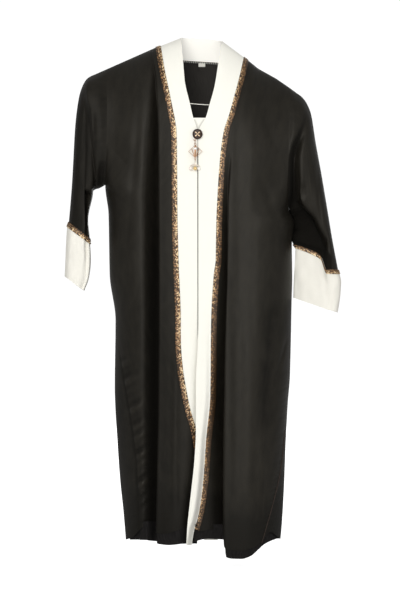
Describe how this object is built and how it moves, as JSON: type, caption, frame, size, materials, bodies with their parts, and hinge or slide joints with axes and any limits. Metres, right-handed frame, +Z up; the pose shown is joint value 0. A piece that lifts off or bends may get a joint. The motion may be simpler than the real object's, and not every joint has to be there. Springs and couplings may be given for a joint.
{
  "type": "open-front robe",
  "caption": "Ankle-length black satin robe with ivory front bands and cuffs, copper braid, a button and a hanging charm.",
  "frame": {"origin": "middle of the neck opening at the height of the shoulders' neck points, where a wearer's shoulders hold the robe up", "axes": "+Z up, -Y out of the front, +X to the right of someone who looks at the front"},
  "size_m": [0.7191, 0.2116, 1.345],
  "materials": {
    "black_satin": "satin weave, smooth, soft sheen",
    "black_matte": "the satin's matte side",
    "ivory_cloth": "plain weave, matte",
    "copper_braid": "woven braid with metallic thread",
    "gold_metal": "polished, pale",
    "clear_stone": "clear, faceted",
    "dark_button": "gloss, with a pale inlay",
    "gold_pearl": "pearly gloss",
    "white_pearl": "pearly gloss",
    "rose_pearl": "pearly gloss"
  },
  "bodies": {
    "robe": {"front_left": "black_satin", "front_right": "black_satin", "back": "black_satin", "sleeve_left": "black_satin", "sleeve_right": "black_satin", "hem_strip_left": "black_matte", "hem_strip_right": "black_matte", "band_left": "ivory_cloth", "band_right": "ivory_cloth", "collar_back": "ivory_cloth", "cuff_left": "ivory_cloth", "cuff_right": "ivory_cloth", "under_tab": "ivory_cloth", "neck_tag": "ivory_cloth", "hanging_tape": "ivory_cloth", "braid_left": "copper_braid", "braid_right": "copper_braid", "braid_cuff_left": "copper_braid", "braid_cuff_right": "copper_braid", "button": "dark_button", "charm_eye": "gold_metal"},
    "link": {"charm_link": "gold_metal"},
    "charm": {"charm_diamond": "gold_metal", "charm_crystal": "clear_stone"},
    "drop": {"drop_link": "gold_metal", "drop_bail": "gold_metal", "pearl_gold": "gold_pearl", "pearl_white": "white_pearl", "pearl_rose": "rose_pearl"}
  },
  "joints": [
    {"name": "charm_lift", "type": "hinge", "parent": "robe", "child": "link", "pos_m": [-0.01278, -0.1118, -0.23879], "axis": [1, 0, 0], "range_deg": [-45, 0]},
    {"name": "charm_swing", "type": "hinge", "parent": "link", "child": "charm", "pos_m": [-0.01265, -0.1118, -0.24613], "axis": [0, 1, 0], "range_deg": [-25, 25]},
    {"name": "drop_swing", "type": "hinge", "parent": "charm", "child": "drop", "pos_m": [-0.0124, -0.1118, -0.28511], "axis": [0, 1, 0], "range_deg": [-25, 25]}
  ]
}
